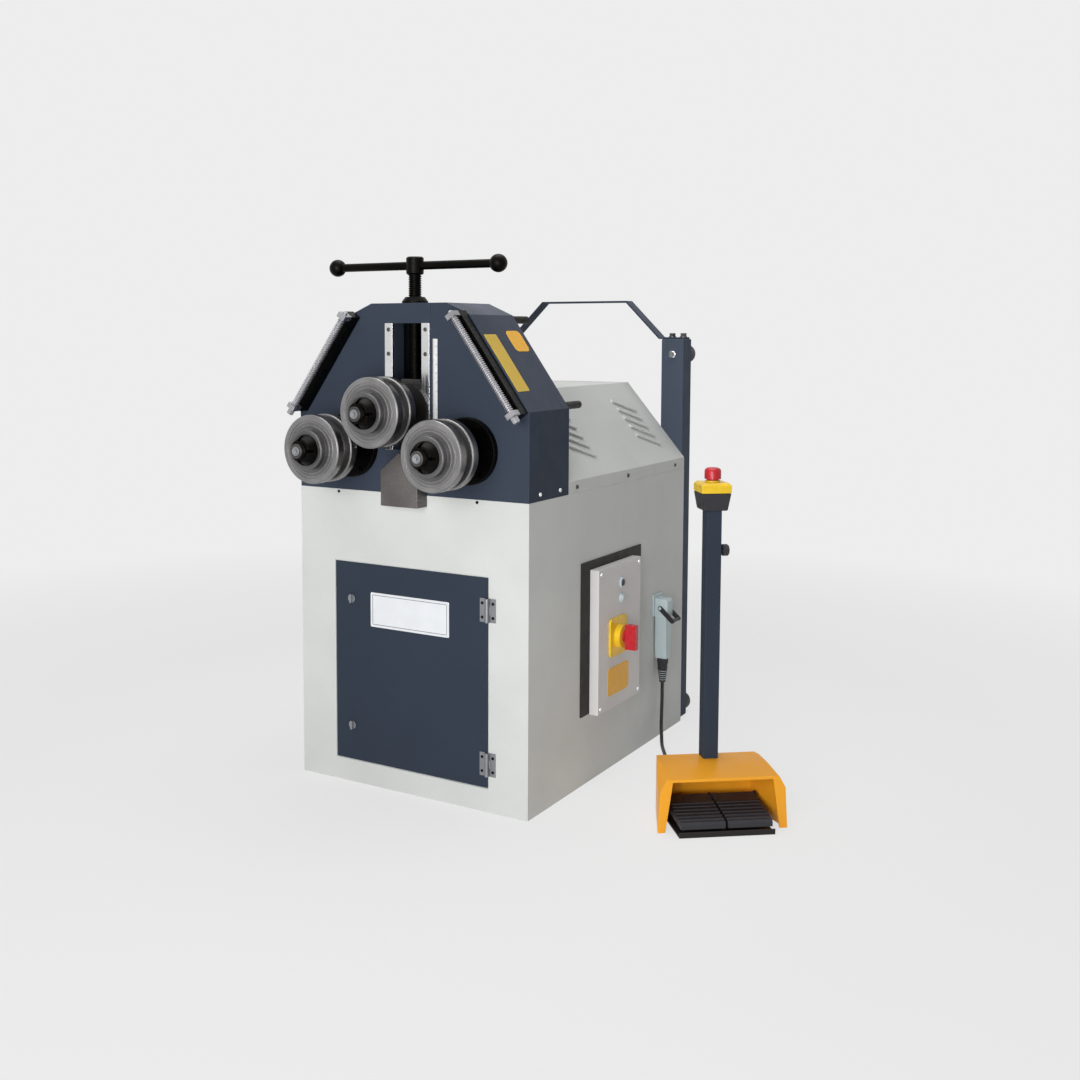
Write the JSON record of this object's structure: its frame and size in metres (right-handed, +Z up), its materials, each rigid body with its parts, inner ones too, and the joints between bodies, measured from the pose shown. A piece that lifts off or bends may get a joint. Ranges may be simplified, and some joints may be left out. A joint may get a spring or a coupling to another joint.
{
  "type": "angle roll bender",
  "caption": "Floor-standing section bender: cabinet with door, bevelled head with driven rolls and a screw-set upper roll, drive hood, rear hoop, side panel and foot-pedal station.",
  "frame": {"origin": "middle of the cabinet's floor face", "axes": "+X to the operator's right, +Y to the back, +Z up"},
  "size_m": [1.1199, 1.171, 1.236],
  "materials": {
    "cabinet_paint": "satin light grey",
    "navy_paint": "satin dark blue-grey",
    "black_paint": "satin black",
    "orange_paint": "satin orange",
    "motor_paint": "satin blue-grey",
    "bright_steel": "bright",
    "raw_steel": "turned, oiled",
    "dark_steel": "turned, oiled",
    "black_oxide": "black oxide",
    "rule_plate": "matte white",
    "connector_alloy": "powder coated",
    "yellow_plastic": "gloss",
    "red_plastic": "gloss",
    "lamp_plastic": "gloss",
    "black_plastic": "matte",
    "black_rubber": "matte"
  },
  "bodies": {
    "frame": {"cabinet_shell": "cabinet_paint", "cabinet_top_plate": "raw_steel", "head_front_plate": "navy_paint", "head_rear_plate": "navy_paint", "head_cover": "navy_paint", "crosshead_block": "navy_paint", "spindle_nut": "black_oxide", "slide_guide_strips": "bright_steel", "scale_rule": "rule_plate", "centre_rest": "raw_steel", "lower_bearing_flanges": "black_oxide", "lower_bearings": "bright_steel", "guide_rails": "black_oxide", "gearbox": "motor_paint", "drive_motor": "motor_paint", "rear_hood": "cabinet_paint", "rear_posts": "navy_paint", "rear_feet": "black_rubber", "rear_hoop": "navy_paint", "frame_hinge_leaves": "bright_steel", "electrical_box": "black_paint", "panel_cover": "cabinet_paint", "main_switch_plate": "yellow_plastic", "panel_lamps": "lamp_plastic", "socket_housing": "connector_alloy", "plug_hood": "connector_alloy", "pedal_cable": "black_rubber", "pedal_base": "black_paint", "pedal_guard": "orange_paint", "column": "navy_paint", "column_knob": "black_plastic", "estop_box": "black_plastic", "estop_lid": "yellow_plastic", "bright_screws": "bright_steel"},
    "door": {"door_panel": "navy_paint", "door_hinge_leaves": "bright_steel"},
    "upper_lock": {"upper_door_lock": "bright_steel"},
    "lower_lock": {"lower_door_lock": "bright_steel"},
    "slide": {"slide_block": "dark_steel"},
    "spindle": {"spindle": "dark_steel", "handle_bar": "black_oxide"},
    "upper_roll": {"upper_shaft": "dark_steel", "upper_roll": "raw_steel", "upper_roll_nut": "black_oxide"},
    "lower_left_roll": {"lower_left_shaft": "dark_steel", "lower_left_roll": "raw_steel", "lower_left_nut": "black_oxide", "lower_left_gear": "dark_steel"},
    "lower_right_roll": {"lower_right_shaft": "dark_steel", "lower_right_roll": "raw_steel", "lower_right_nut": "black_oxide", "lower_right_gear": "dark_steel"},
    "pinion": {"drive_pinion": "dark_steel"},
    "left_guide_screw": {"left_guide_screw": "bright_steel"},
    "right_guide_screw": {"right_guide_screw": "bright_steel"},
    "main_switch": {"main_switch_knob": "red_plastic"},
    "estop_button": {"estop_button": "red_plastic"},
    "socket_lever": {"socket_lever": "black_plastic"},
    "left_pedal": {"left_pedal": "black_plastic"},
    "right_pedal": {"right_pedal": "black_plastic"}
  },
  "joints": [
    {"name": "door_hinge", "type": "hinge", "parent": "frame", "child": "door", "pos_m": [0.211, -0.436, 0.292], "axis": [0, 0, 1], "range_deg": [0, 110]},
    {"name": "upper_lock_turn", "type": "hinge", "parent": "door", "child": "upper_lock", "pos_m": [-0.162, -0.43, 0.443], "axis": [0, 1, 0], "range_deg": [0, 90]},
    {"name": "lower_lock_turn", "type": "hinge", "parent": "door", "child": "lower_lock", "pos_m": [-0.162, -0.43, 0.139], "axis": [0, 1, 0], "range_deg": [0, 90]},
    {"name": "upper_slide", "type": "slide", "parent": "frame", "child": "slide", "axis": [0, 0, 1], "range_m": [-0.0238, 0.0638]},
    {"name": "spindle_turn", "type": "hinge", "parent": "slide", "child": "spindle", "pos_m": [0, -0.402, 1], "axis": [0, 0, 1], "range_deg": [-1710, 4590]},
    {"name": "upper_roll_spin", "type": "hinge", "parent": "slide", "child": "upper_roll", "pos_m": [0, -0.5, 0.893], "axis": [0, 1, 0], "continuous": true},
    {"name": "lower_right_spin", "type": "hinge", "parent": "frame", "child": "lower_right_roll", "pos_m": [0.16, -0.5, 0.806], "axis": [0, 1, 0], "continuous": true},
    {"name": "lower_left_spin", "type": "hinge", "parent": "frame", "child": "lower_left_roll", "pos_m": [-0.16, -0.5, 0.806], "axis": [0, 1, 0], "continuous": true},
    {"name": "pinion_spin", "type": "hinge", "parent": "frame", "child": "pinion", "pos_m": [0, -0.3, 0.7806], "axis": [0, 1, 0], "continuous": true},
    {"name": "left_guide_screw_turn", "type": "hinge", "parent": "frame", "child": "left_guide_screw", "pos_m": [-0.152, -0.475, 1.095], "axis": [0.5804, 0, 0.8143], "continuous": true},
    {"name": "right_guide_screw_turn", "type": "hinge", "parent": "frame", "child": "right_guide_screw", "pos_m": [0.152, -0.475, 1.095], "axis": [-0.5804, 0, 0.8143], "continuous": true},
    {"name": "main_switch_turn", "type": "hinge", "parent": "frame", "child": "main_switch", "pos_m": [0.36, -0.04, 0.338], "axis": [1, 0, 0], "range_deg": [0, 90]},
    {"name": "estop_press", "type": "slide", "parent": "frame", "child": "estop_button", "axis": [0, 0, -1], "range_m": [0, 0.005], "stiffness_N_per_m": 400, "springref_m": -0.005},
    {"name": "socket_lever_turn", "type": "hinge", "parent": "frame", "child": "socket_lever", "pos_m": [0.3315, 0.256, 0.352], "axis": [0, -1, 0], "range_deg": [0, 80]},
    {"name": "left_pedal_press", "type": "hinge", "parent": "frame", "child": "left_pedal", "pos_m": [0.63233, -0.17652, 0.036], "axis": [0.7826, 0.6225, 0], "range_deg": [0, 4], "stiffness_Nm_per_rad": 20, "springref_deg": -2.01},
    {"name": "right_pedal_press", "type": "hinge", "parent": "frame", "child": "right_pedal", "pos_m": [0.63233, -0.17652, 0.036], "axis": [0.7826, 0.6225, 0], "range_deg": [0, 4], "stiffness_Nm_per_rad": 20, "springref_deg": -2.01}
  ],
  "couplings": [
    {"joint": "upper_slide", "follows": "spindle_turn", "m_per_rad": 0.00079577},
    {"joint": "lower_left_spin", "follows": "lower_right_spin", "ratio": 1},
    {"joint": "pinion_spin", "follows": "lower_right_spin", "ratio": -1.4545}
  ]
}
